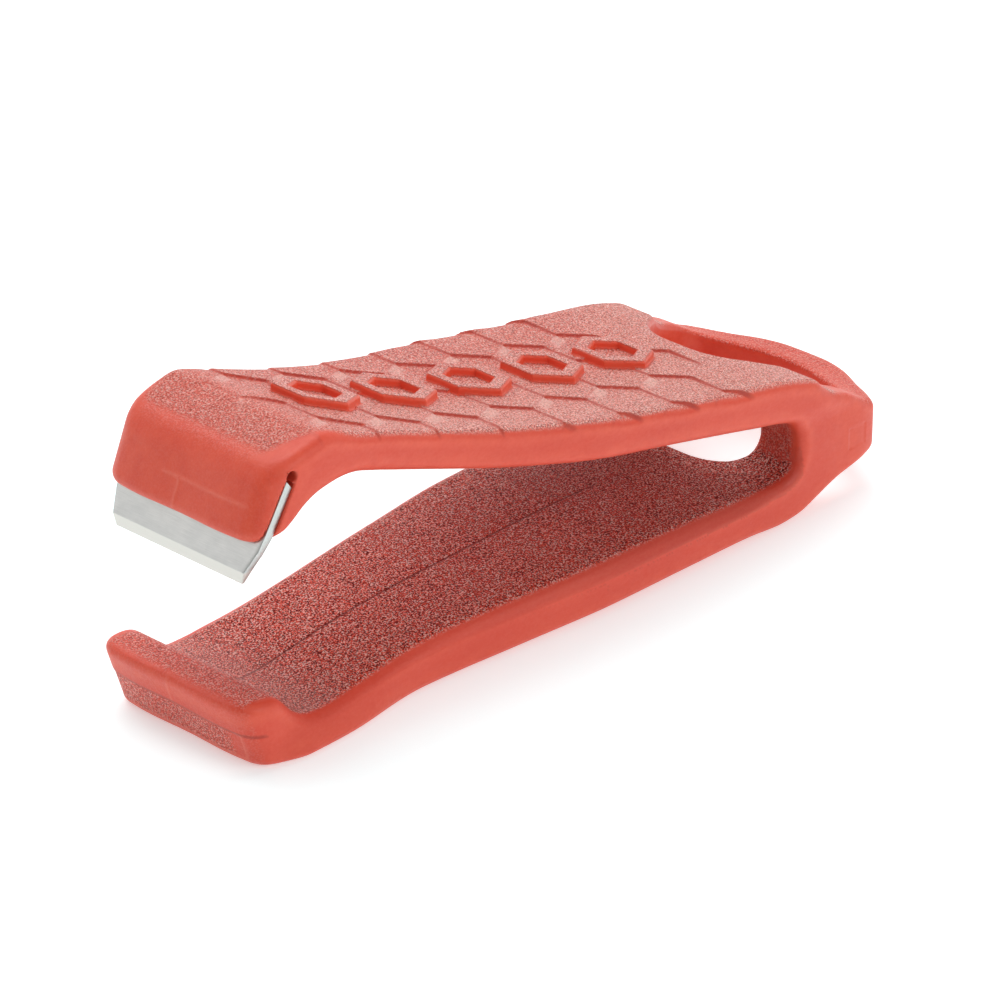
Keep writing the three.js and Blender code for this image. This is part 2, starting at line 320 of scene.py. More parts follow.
def plain_body(x, y, z):
    """the body without slot, tiles, rings or mould marks"""
    side = np.abs(y)
    plan_x = x - front_x(z) * drop(1.5, 7.0, x)
    plan = plan_distance(plan_x, np.maximum(side - widen(x, z), 0))
    radius = EDGE_R + JAW_EDGE_R * step(13, 15, z) * drop(7, 16, x)
    radius = radius + (MOUTH_EDGE_R * step(2.0, 3.2, z) * drop(5.6, 6.6, z)
                       * step(5, 10, x) * drop(44, 49, x))
    solid = both(side_distance(x, z), plan, radius)
    return both(solid, np.where(x < 44, -5.0, -opening_distance(x, side)), OPENING_R)


def tiles(x, y):
    """depth of the scale-like tiles under the plain panel, and two masks:
    the step faces between tiles, and the smooth ramps at their corners"""
    fade = step(3.4, 8.4, x)
    x = x - TILE_SKEW * y
    centre_x, centre_y, limit = [], [], []
    for row in range(-3, 3):
        start = TILE_X0 + (TILE / 2 if row % 2 else 0)
        column = np.floor((x - start) / TILE)
        for side in (0, 1):
            centre_x.append(start + (column + side) * TILE)
            centre_y.append(TILE_Y0 + row * TILE_ROW)
            limit.append(42.0 if row == 1 else 45.0)    # no tiles from this x on
    centre_x, centre_y, limit = np.stack(centre_x), np.array(centre_y), np.array(limit)
    square = (x[None] - centre_x) ** 2 + (y[None] - centre_y[:, None]) ** 2
    order = np.argpartition(square, 2, axis=0)[:3]
    ranks = np.argsort(np.take_along_axis(square, order, 0), axis=0)
    nearest, second = np.take_along_axis(order, ranks, 0)[:2]
    each = np.arange(len(x))

    def depth(tile):
        across, up = x - centre_x[tile, each], y - centre_y[tile]
        t = (across * 0.6 + up * 0.8) / TILE_R
        sunk = TILE_STEP * np.clip((t + 0.86) / 1.72, 0, 1)
        return np.where(centre_x[tile, each] < limit[tile], sunk, 0.0)

    depth1, depth2 = depth(nearest), depth(second)
    first_high = depth1 <= depth2           # the nearer tile is the higher one
    high = np.where(first_high, depth1, depth2)
    low = np.where(first_high, depth2, depth1)
    # distance from the shared border, positive on the high side
    inward = (square[second, each] - square[nearest, each]) / (2 * TILE)
    inward = np.where(first_high, inward, -inward)
    # direction from the high tile to the low one
    to_x = centre_x[second, each] - centre_x[nearest, each]
    to_y = centre_y[second] - centre_y[nearest]
    to_x, to_y = np.where(first_high, to_x, -to_x), np.where(first_high, to_y, -to_y)
    ramp = (to_x > 1.0) & (to_y < -1.0)
    low_width, high_width = np.where(ramp, 0.8, 0.09), np.where(ramp, 0.05, 0.09)
    level = low + (high - low) * step(-low_width, high_width, inward)
    jump = (low - high) / TILE_STEP
    wall = np.where(ramp, bump(inward - 0.02, 0.10) * 0.8, bump(inward, 0.12))
    wall = wall * np.clip(jump * 1.4, 0, 1) * fade
    corner = np.where(ramp, step(-1.15, -0.75, inward) * drop(-0.12, 0.0, inward), 0.0)
    high_x = np.where(first_high, centre_x[nearest, each], centre_x[second, each])
    return level * fade, wall, corner * step(0.35, 1.5, x - high_x) * fade


def hexagon(x, y, radius):
    """distance to a hexagon with corners toward +y and -y"""
    x = np.abs(x)
    reach = np.maximum(x, x * 0.5 + np.abs(y) * (math.sqrt(3) / 2))
    return reach - radius * math.cos(math.pi / 6)


def rings(x, y):
    """distance to the row of hexagonal rings, and a mask of the ground off them"""
    k = np.clip(np.round((x - RING_X0) / RING_PITCH), 0, RING_COUNT - 1)
    x, y = x - (RING_X0 + k * RING_PITCH), y - RING_Y
    outer = hexagon(x, y, RING_R)
    bore = hexagon(x, y, RING_R - RING_WALL)
    return both(outer, -bore, 0.22), step(-0.45, 0.1, outer)


def slot(x, z):
    from_x, from_z = x - BLADE_FRONT[0], z - BLADE_FRONT[1]
    through = from_x * THRU[0] + from_z * THRU[1]
    along = from_x * UP[0] + from_z * UP[1]
    top = (SLOT_TOP - BLADE_FRONT[1]) / UP[1]
    sides = np.maximum(-SLOT_CLEAR - through, through - BLADE_T - SLOT_CLEAR)
    hole = np.hypot(x - SLOT_END[0], z - SLOT_END[1]) - SLOT_END[2]
    return np.minimum(np.maximum(sides, along - top), hole)


def mould_marks(x, y, z):
    """low flash lines and steps of the mould; positive takes away"""
    front = drop(1.6, 2.6, x)
    upper, lower = step(12, 13, z) * front, drop(8, 9, z) * front
    lip_z = z - LIP_SLOPE * y
    # upper jaw: a line across it, and one down it
    marks = -MARK * upper * bump(z - 19.05, 0.11) * step(-6.2, -5.4, y) * drop(1.6, 2.4, y)
    marks = marks - (MARK * upper * bump(y - 0.4, 0.11)
                     * step(16.9, 17.1, z) * drop(18.9, 19.2, z))
    # lower jaw: a recessed band under the lip, and a line down the lip
    marks = marks + (0.07 * lower * drop(2.76, 2.92, lip_z)
                     * step(-6.2, -5.6, y) * step(0.35, 0.8, z))
    marks = marks - (0.04 * lower * bump(y - 0.3, 0.11)
                     * step(2.95, 3.2, z) * (1 - 0.75 * step(4.7, 5.05, z)))
    # a groove along the middle of the lower arm's top
    arm = step(2.4, 4.2, x) * drop(38, 41, x) * step(1.2, 1.8, z) * drop(5.2, 5.6, z)
    marks = marks + MARK * arm * bump(y, 0.13)
    # a small square recess on the -y flank, near the rear
    gate = drop(0.85, 0.97, np.abs(x - 57.0)) * drop(0.8, 0.92, np.abs(z - 4.65)) * (y < -8)
    return marks + MARK * gate


def full_body(x, y, z):
    plain = plain_body(x, y, z)
    body = plain.copy()
    near = np.abs(plain) < 1.6
    if near.any():
        x_near, y_near, z_near = x[near], y[near], z[near]
        rise = above_top(x_near, z_near)
        skin = plain[near] + mould_marks(x_near, y_near, z_near)
        panel = on_upper_arm(x_near, z_near) & (rise > -1.2)
        if panel.any():
            depth = tiles(x_near[panel], y_near[panel])[0]
            ring, clear = rings(x_near[panel], y_near[panel])
            depth = depth * clear + 0.5 * TILE_STEP * (1 - clear)   # level under each ring
            skin[panel] += depth * step(-0.85, -0.30, rise[panel])
            pad = both(ring, plain[near][panel] - RING_RISE, 0.20)
            skin[panel] = join(skin[panel], pad, 0.16)
        body[near] = skin
    jaw = in_upper_jaw(x, z)
    if jaw.any():
        body[jaw] = both(body[jaw], -slot(x[jaw], z[jaw]), SLOT_EDGE_R)
    return body


# ----------------------------------------------------------------- field to mesh
def sample_body(low, high, block=4):
    """body distance on a lattice, worked out in full only in blocks near the surface"""
    blocks = np.ceil((high - low) / CELL / block).astype(int)
    middles = [low[i] + CELL * block * (np.arange(blocks[i]) + 0.5) for i in range(3)]
    x, y, z = np.meshgrid(*middles, indexing="ij")
    coarse = plain_body(x.ravel(), y.ravel(), z.ravel()).reshape(blocks)
    reach = CELL * block * 0.5 * math.sqrt(3) + RING_RISE + 0.15
    active = np.argwhere((np.abs(coarse) < reach * 1.1)
                         | (in_upper_jaw(x, z) & (coarse < reach)))
    values = coarse
    for axis in range(3):
        values = np.repeat(values, block, axis)
    values = np.pad(values, ((0, 1), (0, 1), (0, 1)), mode="edge").astype(np.float32)
    offsets = np.array(list(np.ndindex((block + 1,) * 3)))
    batch = 4000
    for s in range(0, len(active), batch):
        index = (active[s:s + batch, None, :] * block + offsets[None]).reshape(-1, 3)
        values[tuple(index.T)] = full_body(*(low + index * CELL).T)
    return values


def surface_net(values, low):
    """one vertex in each cell the surface crosses, one quad round each crossed edge"""
    solid = values < 0
    corners = np.array(list(np.ndindex(2, 2, 2)))
    filled = np.zeros(tuple(np.array(values.shape) - 1), np.uint8)
    for corner in corners:
        filled += solid[tuple(slice(k, n - 1 + k) for k, n in zip(corner, solid.shape))]
    cells = np.argwhere((filled > 0) & (filled < 8))
    vertex_id = np.full(filled.shape, -1, np.int32)
    vertex_id[tuple(cells.T)] = np.arange(len(cells))
    total, crossings = np.zeros((len(cells), 3)), np.zeros(len(cells))
    at_corner = np.stack([values[tuple((cells + c).T)] for c in corners], 1).astype(float)
    for a in range(8):
        for b in range(a + 1, 8):
            if np.abs(corners[a] - corners[b]).sum() != 1:
                continue
            value_a, value_b = at_corner[:, a], at_corner[:, b]
            crossed = (value_a < 0) != (value_b < 0)
            t = np.where(crossed, value_a / np.where(crossed, value_a - value_b, 1), 0)
            total += crossed[:, None] * (corners[a] + t[:, None] * (corners[b] - corners[a]))
            crossings += crossed
    points = low + CELL * (cells + total / crossings[:, None])

    quads = []
    for axis in range(3):
        first, last = [slice(None)] * 3, [slice(None)] * 3
        first[axis], last[axis] = slice(0, -1), slice(1, None)
        start, end = solid[tuple(first)], solid[tuple(last)]
        edges = np.argwhere(start != end)
        side1, side2 = (axis + 1) % 3, (axis + 2) % 3
        for side in (side1, side2):
            place = edges[:, side]
            edges = edges[(place > 0) & (place < values.shape[side] - 1)]
        quad = []
        for back1, back2 in ((1, 1), (0, 1), (0, 0), (1, 0)):
            cell = edges.copy()
            cell[:, side1] -= back1
            cell[:, side2] -= back2
            quad.append(vertex_id[tuple(cell.T)])
        quad = np.stack(quad, 1)
        quads.append(np.where(start[tuple(edges.T)][:, None], quad, quad[:, ::-1]))
    return points, np.vstack(quads)


def gradient(points, reach=0.03):
    return np.stack([full_body(*(points + reach * axis).T) - full_body(*(points - reach * axis).T)
                     for axis in np.eye(3)], 1) / (2 * reach)


def settle(points, rounds=2, longest=0.06):
    """points pulled onto the exact surface, with their normals"""
    points = points.copy()
    for _ in range(rounds):
        distance = full_body(*points.T)
        slope = gradient(points)
        move = -(distance / np.maximum((slope * slope).sum(1), 0.5))[:, None] * slope
        length = np.linalg.norm(move, axis=1, keepdims=True)
        points += move * np.minimum(1, longest / np.maximum(length, 1e-9))
    slope = gradient(points)
    return points, slope / np.maximum(np.linalg.norm(slope, axis=1, keepdims=True), 1e-9)


def add_object(name, data):
    thing = bpy.data.objects.new(name, data)
    bpy.context.scene.collection.objects.link(thing)
    return thing


def quad_object(name, points, quads):
    mesh = bpy.data.meshes.new(name)
    mesh.vertices.add(len(points))
    mesh.vertices.foreach_set("co", np.asarray(points, np.float32).ravel())
    mesh.loops.add(quads.size)
    mesh.loops.foreach_set("vertex_index", quads.astype(np.int32).ravel())
    mesh.polygons.add(len(quads))
    mesh.polygons.foreach_set("loop_start", np.arange(0, quads.size, 4, dtype=np.int32))
    mesh.polygons.foreach_set("loop_total", np.full(len(quads), 4, np.int32))
    mesh.update(calc_edges=True)
    mesh.validate()
    mesh.polygons.foreach_set("use_smooth", np.full(len(mesh.polygons), True))
    return add_object(name, mesh)


def add_attribute(thing, name, values, kind="FLOAT"):
    layer = thing.data.attributes.new(name, kind, "POINT")
    key = "vector" if kind == "FLOAT_VECTOR" else "value"
    layer.data.foreach_set(key, np.asarray(values, np.float32).ravel())


# ----------------------------------------------------------------- moulded body
def surface_masks(points, normals):
    """where each finish of the body lies, and where painted shade and sheen go, 0 to 1 at every
    vertex
    """
    x, y, z = points.T
    normal_x, normal_z = normals[:, 0], normals[:, 2]
    rise = above_top(x, z)
    inset = np.interp(x, *zip(*PLAN_FLANK)) - np.abs(y)
    lip_z = z - LIP_SLOPE * y
    low = z < 6.4

    # tile steps, tile corners and ring flanks on the upper arm
    _, wall, corner = tiles(x, y)
    ring, clear = rings(x, y)
    on_panel = step(-0.9, -0.35, rise) * on_upper_arm(x, z)
    pad_side = on_panel * step(-0.34, -0.16, ring) * drop(0.10, 0.30, ring)
    pad_side = pad_side * drop(0.80, 0.97, normal_z)
    wall = wall * on_panel * step(0.10, 0.3, ring) * clear
    corner = corner * on_panel * step(0.15, 0.4, ring) * clear * step(0.9, 1.5, inset)

    # grain on top of the upper arm, inside a half width that narrows at the jaw
    limit = np.interp(x, [2, 3, 4.6, 5.8, 7.2, 9, 12], [4.9, 5.2, 5.7, 6.3, 6.7, 7.3, 9.5])
    limit = limit + 1.2 * (y > 0)
    top = step(-0.62, -0.12, rise) * (z > 8.6) * step(0.50, 0.80, normal_z)
    top = top * step(1.9, 3.1, x) * step(-0.45, 0.45, limit - np.abs(y))
    brow = 0.34 * step(0.5, 2.6, x) * (x < 6) * (z > 18) * step(0.20, 0.70, normal_z)
    brow = brow * step(-0.45, 0.9, limit - np.abs(y))

    # grain on the lower arm's top, weaker over the lip
    arm = low * step(0.25, 0.6, normal_z) * (x < 50.8) * step(0.55, 1.0, inset)
    arm = arm * (1 - 0.40 * step(3.9, 4.8, z) * drop(2.4, 4.4, x))
    arm = arm * np.where(z > 3.9, step(-1.75, -0.75, x), 1.0)
    lip_band = drop(2.70, 2.84, lip_z) * step(0.5, 0.8, z) * (normal_x < -0.7)
    lip_band = lip_band * step(-5.3, -4.3, y)

    # grain on the rear loop, the bow's inside and the front faces
    loop = (0.34 * step(55, 60, x) + 0.10 * (x > 52)) * step(0.35, 0.7, normal_z)
    bow = (x > 46) & (x < 51.4) & (z > 3) & (normal_x < 0.2)
    bow_grain = 0.42 * bow * (z < 8.6) * step(0.8, 1.3, inset)
    front = 0.06 * (normal_x < -0.6) * (x < 2.5)
    grain = np.clip(np.maximum.reduce([
        top * (1 - pad_side), arm, 0.55 * lip_band, loop, bow_grain, front,
        brow * (1 - pad_side)]), 0, 1)

    # painted shade: darker deep in the mouth toward the bow and on the bow's inside
    cave_shade = np.maximum(step(14, 46, x) * low * (normal_z > 0) * (x < 51.2),
                      bow * (z < 8.8) * step(0.2, 0.9, inset))
    # an outer edge is where a point this deep under the skin is still near it
    probe = 1.4
    deep = full_body(*(points - probe * normals).T)
    marks = np.abs(mould_marks(x, y, z))
    return {
        "grain": grain * (1 - 0.85 * np.clip(wall, 0, 1)),
        "panel": np.clip(top, 0, 1),
        "wall": np.clip(wall, 0, 1),
        "pad_side": np.clip(pad_side, 0, 1),
        "corner": np.clip(corner, 0, 1),
        "edge": np.clip((deep + probe) / 0.5, 0, 1),
        # painted shade on the slot's inner walls
        "slot_shade": in_upper_jaw(x, z) & (np.abs(slot(x, z)) < 0.05) & (rise < -0.15),
        "flash": np.clip(marks / MARK, 0, 1) * (marks <= 0.055) * (x < 3),
        "lip_line": (bump(lip_z - 2.86, 0.10) * (normal_x < -0.25)
                     * step(-7.4, -7.0, y) * (x < 2)),
        "inner": step(0.15, 0.5, normal_z) * low * step(2.0, 4.5, x) * (x < 51),
        "cave_shade": cave_shade,
    }


def build_body():
    low, high = np.array([-3.0, -10.6, -0.9]), np.array([64.0, 10.6, 24.4])
    points, quads = surface_net(sample_body(low, high), low)
    points, normals = settle(points)
    points[:, 2] = np.maximum(points[:, 2], 0.0)
    body = quad_object("moulded_body", to_row(points), quads)
    add_attribute(body, "rest", points, "FLOAT_VECTOR")
    for name, values in surface_masks(points, normals).items():
        add_attribute(body, name, values)
    return body


# ------------------------------------------------------------------- steel blade
def blade_section():
    """closed x, z loop: down the front face, the ground face, up the back face"""
    def on_face(z, off):
        k = (z - BLADE_FRONT[1]) / UP[1]
        return (BLADE_FRONT[0] + k * UP[0] + off * THRU[0],
                BLADE_FRONT[1] + k * UP[1] + off * THRU[1])

    front = [on_face(z, 0.0) for z in BLADE_FRONT_Z]
    back = [on_face(z, BLADE_T) for z in BLADE_BACK_Z]
    x, z = front[-1]
    edge_x = back[0][0] - 0.17
    near_x = edge_x - EDGE_HALF_T
    grind = [(x + (near_x - x) * t, z + (EDGE_Z - z) * t) for t in GRIND_STEPS]
    return front + grind + [(near_x, EDGE_Z), (edge_x + EDGE_HALF_T, EDGE_Z)] + back


def blade_mesh():
    section = blade_section()
    count = len(section)
    bm = bmesh.new()
    loops = []
    for s in np.linspace(-1, 1, BLADE_Y_STEPS):
        widths = BLADE_MINUS_Y if s < 0 else BLADE_PLUS_Y
        loops.append([bm.verts.new((x, s * float(np.interp(z, BLADE_WIDTH_Z, widths)), z))
                      for x, z in section])
    for a, b in zip(loops[:-1], loops[1:]):
        for i in range(count):
            j = (i + 1) % count
            bm.faces.new((a[i], a[j], b[j], b[i]))
    # end faces: strips between the front and back rows
    for loop, turn in ((loops[0], 1), (loops[-1], -1)):
        for i in range(count // 2 - 1):
            strip = (loop[i], loop[i + 1], loop[count - 2 - i], loop[count - 1 - i])
            bm.faces.new(strip[::turn])
    bmesh.ops.recalc_face_normals(bm, faces=bm.faces)
    mesh = bpy.data.meshes.new("cutter_blade_steel")
    bm.to_mesh(mesh)
    bm.free()
    return mesh


def shade_smooth(mesh):
    for polygon in mesh.polygons:
        polygon.use_smooth = True


def build_blade():
    mesh = blade_mesh()
    points = np.array([vertex.co for vertex in mesh.vertices])
    blade = add_object("cutter_blade_steel", mesh)
    add_attribute(blade, "rest", points, "FLOAT_VECTOR")
    mesh.vertices.foreach_set("co", to_row(points).astype(np.float32).ravel())
    bevel = blade.modifiers.new("worn_edges", "BEVEL")
    bevel.width = 0.00003
    bevel.segments = 2
    bevel.limit_method = "ANGLE"
    bevel.angle_limit = math.radians(20)
    shade_smooth(mesh)
    # bake the bevel into the mesh
    bpy.context.view_layer.update()
    depsgraph = bpy.context.evaluated_depsgraph_get()
    baked = bpy.data.meshes.new_from_object(blade.evaluated_get(depsgraph))
    blade.modifiers.clear()
    blade.data = baked
    baked.name = "cutter_blade_steel"
    shade_smooth(baked)
    baked.set_sharp_from_angle(angle=math.radians(25))
    return blade


# --------------------------------------------------------------------- materials
def srgb(*rgb):
    parts = [c / 255.0 for c in rgb]
    return (*[c / 12.92 if c <= 0.04045 else ((c + 0.055) / 1.055) ** 2.4 for c in parts], 1.0)


class Graph:
    """short calls for adding and linking shader nodes"""

    def __init__(self, tree):
        self.tree = tree

    def node(self, kind, **props):
        node = self.tree.nodes.new(kind)
        for key, value in props.items():
            setattr(node, key, value)
        return node

    def put(self, socket, value):
        if isinstance(value, bpy.types.NodeSocket):
            self.tree.links.new(value, socket)
        else:
            socket.default_value = value

    def fill(self, node, values):
        for key, value in values.items():
            self.put(node.inputs[key], value)
        return node

    def attr(self, name, output="Fac"):
        node = self.node("ShaderNodeAttribute", attribute_name=name, attribute_type="GEOMETRY")
        return node.outputs[output]

    def math(self, operation, a, b=0.0):
        node = self.node("ShaderNodeMath", operation=operation)
        return self.fill(node, {0: a, 1: b, 2: 0.0}).outputs[0]

    def times(self, a, b):
        return self.math("MULTIPLY", a, b)

    def plus(self, a, b):
        return self.math("ADD", a, b)

    def minus(self, a, b):
        return self.math("SUBTRACT", a, b)

    def stretch(self, vector, x=1.0, y=1.0, z=1.0):
        node = self.node("ShaderNodeVectorMath", operation="MULTIPLY")
        return self.fill(node, {0: vector, 1: (x, y, z)}).outputs[0]

    def split(self, vector):
        return self.fill(self.node("ShaderNodeSeparateXYZ"), {0: vector}).outputs

    def noise(self, vector, scale, detail, rough, lacunarity=2.0):
        return self.fill(self.node("ShaderNodeTexNoise"), {
            "Vector": vector, "Scale": scale, "Detail": detail, "Roughness": rough,
            "Lacunarity": lacunarity}).outputs["Fac"]

    def map(self, value, over, to=(0.0, 1.0), **props):
        return self.fill(self.node("ShaderNodeMapRange", **props), {
            "Value": value, "From Min": over[0], "From Max": over[1],
            "To Min": to[0], "To Max": to[1]}).outputs["Result"]

    def mix(self, factor, a, b):
        node = self.node("ShaderNodeMix", data_type="RGBA")
        return self.fill(node, {0: factor, 6: a, 7: b}).outputs[2]

    def tint(self, colour, mask, rgb, amount=None):
        factor = mask if amount is None else self.times(mask, amount)
        return self.mix(factor, colour, srgb(*rgb))

    def relief(self, bsdf, height, strength, distance):
        node = self.fill(self.node("ShaderNodeBump"), {
            "Strength": strength, "Distance": distance, "Height": height})
        self.put(bsdf.inputs["Normal"], node.outputs[0])


def new_material(name):
    material = bpy.data.materials.new(name)
    material.use_nodes = True
    tree = material.node_tree
    tree.nodes.clear()
    output = tree.nodes.new("ShaderNodeOutputMaterial")
    bsdf = tree.nodes.new("ShaderNodeBsdfPrincipled")
    tree.links.new(bsdf.outputs[0], output.inputs[0])
    return material, Graph(tree), bsdf


def body_material():
    material, net, bsdf = new_material("moulded_nylon")
    rest = net.attr("rest", output="Vector")
    grain, panel, wall, pad_side, corner, edge, slot_shade, flash, lip_line, inner, cave_shade = [
        net.attr(name) for name in ("grain", "panel", "wall", "pad_side", "corner", "edge",
                                    "slot_shade", "flash", "lip_line", "inner", "cave_shade")]
    # slow colour drift of the moulding, and flow marks along its length
    drift = net.noise(rest, scale=0.10, detail=3.0, rough=0.55)
    flow = net.noise(net.stretch(rest, x=0.25), scale=0.55, detail=3.0, rough=0.6)
    col = net.mix(net.map(drift, over=(0.3, 0.7)), srgb(214, 66, 44), srgb(222, 78, 55))
    col = net.tint(col, net.map(flow, over=(0.35, 0.75)), rgb=(205, 60, 42), amount=0.35)
    # fine mottling everywhere, from glass fibre near the skin
    fibre = net.noise(net.stretch(rest, y=1.6, z=1.6), scale=3.2, detail=4.0, rough=0.65)
    col = net.tint(col, net.map(fibre, over=(0.35, 0.8)), rgb=(236, 118, 96), amount=0.22)
    # masks of the grain's peaks and pits, for painted highlights and painted shade
    peaks = net.noise(rest, scale=7.4, detail=1.0, rough=0.5)
    pits = net.noise(net.stretch(rest), scale=8.3, detail=1.0, rough=0.5, lacunarity=2.1)
    peak_highlight_mask = net.times(net.map(peaks, over=(0.50, 0.58)), grain)
    pit_shade_mask = net.times(net.map(pits, over=(0.51, 0.41)), grain)
    # painted pale sheen on the panel, standing in for the specular haze off its grain, stronger
    # toward -y and at the rear
    x, y, z = net.split(rest)
    sheen_spread = net.times(net.map(x, over=(5.0, 14.0)), net.map(y, over=(6.0, -3.0)))
    sheen_spread = net.math("MAXIMUM", sheen_spread, net.map(x, over=(42.0, 47.0), to=(0.0, 0.7)))
    panel_sheen = net.plus(net.map(drift, over=(0.2, 0.8), to=(0.18, 0.26)), net.times(sheen_spread, 0.36))
    col = net.tint(col, net.times(panel, panel_sheen), rgb=(232, 160, 148))
    # painted highlights on the grain's peaks and painted shade in its pits, quieter over the
    # upper jaw
    in_mouth = net.map(z, over=(6.6, 6.0))
    brow = net.times(net.map(x, over=(9.0, 6.0)), net.map(z, over=(12.0, 13.0)))
    quiet = net.minus(1.0, net.times(brow, 0.30))
    col = net.tint(col, net.times(peak_highlight_mask, quiet), rgb=(248, 208, 198),
                   amount=net.map(in_mouth, over=(0.0, 1.0), to=(0.66, 0.84)))
    col = net.tint(col, net.times(pit_shade_mask, quiet), rgb=(104, 10, 6),
                   amount=net.map(in_mouth, over=(0.0, 1.0), to=(0.60, 1.0)))
    # dark seam along the middle of the lower arm's top
    seam = net.times(net.map(net.math("ABSOLUTE", y), over=(0.06, 0.13), to=(1.0, 0.0)),
                     net.times(in_mouth, net.map(x, over=(2.6, 4.0))))
    seam = net.times(net.times(seam, grain), net.map(x, over=(38.0, 41.0), to=(1.0, 0.0)))
    col = net.tint(col, seam, rgb=(104, 14, 10), amount=0.75)
    # step faces and ring flanks stay smooth and saturated; the step faces also get painted shade,
    # dark red; the power narrows the faces
    col = net.tint(col, net.math("POWER", wall, 1.6), rgb=(156, 32, 22), amount=0.95)
    col = net.tint(col, pad_side, rgb=(236, 84, 54), amount=0.85)
    col = net.tint(col, lip_line, rgb=(128, 22, 14), amount=0.7)
    # frosting at the front of the lower arm, painted shade deepening toward the bow, painted
    # sheen on the pale tile corners
    frost = net.times(net.times(net.map(x, over=(9.0, 4.0)), in_mouth), net.times(inner, grain))
    col = net.tint(col, frost, rgb=(226, 176, 170), amount=0.26)
    col = net.tint(col, cave_shade, rgb=(84, 8, 4), amount=0.26)
    # painted sheen on the smooth ramps at the tile corners
    col = net.tint(col, corner, rgb=(240, 192, 182), amount=0.42)
    # outer edges are a little lighter and warmer: partly handling wear, partly a painted
    # highlight where the rounded edges catch the light
    wear_and_highlight_noise = net.noise(rest, scale=0.9, detail=4.0, rough=0.7)
    edge_rub_and_highlight = net.times(edge, net.map(wear_and_highlight_noise, over=(0.35, 0.75), to=(0.1, 0.55)))
    edge_rub_and_highlight = net.times(edge_rub_and_highlight, net.minus(1.0, inner))
    col = net.tint(col, edge_rub_and_highlight, rgb=(232, 96, 68), amount=net.minus(1.0, grain))
    # painted shade inside the slot
    col = net.tint(col, slot_shade, rgb=(150, 30, 20), amount=0.25)
    col = net.tint(col, flash, rgb=(238, 130, 108), amount=0.30)
    # roughness: satin scuffed skin, duller grain, shinier edges
    scuff = net.noise(net.stretch(rest, x=0.6, y=2.4, z=2.4), scale=1.6, detail=5.0, rough=0.7)
    rough = net.map(scuff, over=(0.3, 0.75), to=(0.40, 0.56))
    rough = net.plus(rough, net.times(grain, 0.06))
    rough = net.minus(rough, net.times(edge, 0.05))
    net.fill(bsdf, {
        "Base Color": col, "Roughness": rough,
        "Specular IOR Level": net.minus(0.40, net.times(pit_shade_mask, 0.32)),   # pits shine less
        "Subsurface Weight": 0.12, "Subsurface Radius": (1.0, 0.3, 0.18),
        "Subsurface Scale": 0.0009})
    # relief: mould grain, then weak broad waves and weaker fine ones
    height = net.times(net.plus(net.times(peaks, 1.0), net.times(pits, 0.6)), grain)
    waves = net.times(net.noise(rest, scale=1.3, detail=4.0, rough=0.6), 0.16)
    fine = net.times(net.noise(rest, scale=7.0, detail=2.0, rough=0.6), 0.05)
    net.relief(bsdf, net.plus(net.plus(height, waves), fine), strength=0.85, distance=0.00017)
    return material


def steel_material():
    material, net, bsdf = new_material("ground_steel")
    rest = net.attr("rest", output="Vector")
    cloud = net.noise(rest, scale=0.5, detail=3.0, rough=0.6)
    # brushing along y, and across it on the ground face
    lines = net.noise(net.stretch(rest, x=6.0, y=0.22, z=6.0), scale=3.0, detail=4.0, rough=0.7)
    cross = net.noise(net.stretch(rest, x=5.0, y=5.0, z=0.35), scale=3.4, detail=3.0, rough=0.7)
    ground = net.map(net.split(rest)[2], over=(14.82, 14.90), to=(1.0, 0.0))
    col = net.mix(net.map(cloud, over=(0.3, 0.7)), srgb(198, 198, 196), srgb(212, 211, 208))
    col = net.tint(col, net.map(lines, over=(0.35, 0.7)), rgb=(176, 175, 172), amount=0.35)
    col = net.tint(col, ground, rgb=(212, 205, 199))
    rough = net.map(lines, over=(0.3, 0.75), to=(0.30, 0.42))
    rough = net.plus(rough, net.times(ground, 0.08))    # the ground face is duller
    net.fill(bsdf, {"Base Color": col, "Metallic": 1.0, "Roughness": rough})
    net.relief(bsdf, net.mix(ground, lines, cross), strength=0.25, distance=0.00002)
    return material


def floor_material():
    """pale floor that glows to white away from the part"""
    material, net, bsdf = new_material("studio_floor")
    place = net.node("ShaderNodeNewGeometry").outputs["Position"]
    far = net.fill(net.node("ShaderNodeVectorMath", operation="LENGTH"), {0: place})
    away = net.map(far.outputs["Value"], over=(0.18, 0.8))
    net.fill(bsdf, {
        "Base Color": (0.80, 0.88, 0.88, 1), "Roughness": 0.9, "Specular IOR Level": 0.1,
        "Emission Color": net.mix(away, (0.89, 1.0, 1.02, 1), (1.0, 1.0, 1.0, 1)),
        "Emission Strength": net.map(away, over=(0.0, 1.0), to=(0.42, 0.95))})
    return material


# --------------------------------------------------------- studio, sizes in metres
def build_floor(cells=24, half=1.6, z=-0.00002):
    mesh = bpy.data.meshes.new("floor")
    bm = bmesh.new()
    places = [half * (2 * i / cells - 1) for i in range(cells + 1)]
    grid = [[bm.verts.new((x, y, z)) for y in places] for x in places]
    for i in range(cells):
        for j in range(cells):
            bm.faces.new((grid[i][j], grid[i + 1][j], grid[i + 1][j + 1], grid[i][j + 1]))
    bm.to_mesh(mesh)
    bm.free()
    floor = add_object("floor", mesh)
    mesh.materials.append(floor_material())


def area_light(name, location, target, size, power):
    light = bpy.data.lights.new(name, "AREA")
    light.shape = "RECTANGLE"
    light.size, light.size_y = size
    light.energy = power
    aim = (Vector(target) - Vector(location)).normalized()
    turn = aim.to_track_quat("-Z", "Y").to_matrix().to_4x4()
    add_object(name, light).matrix_world = Matrix.Translation(location) @ turn


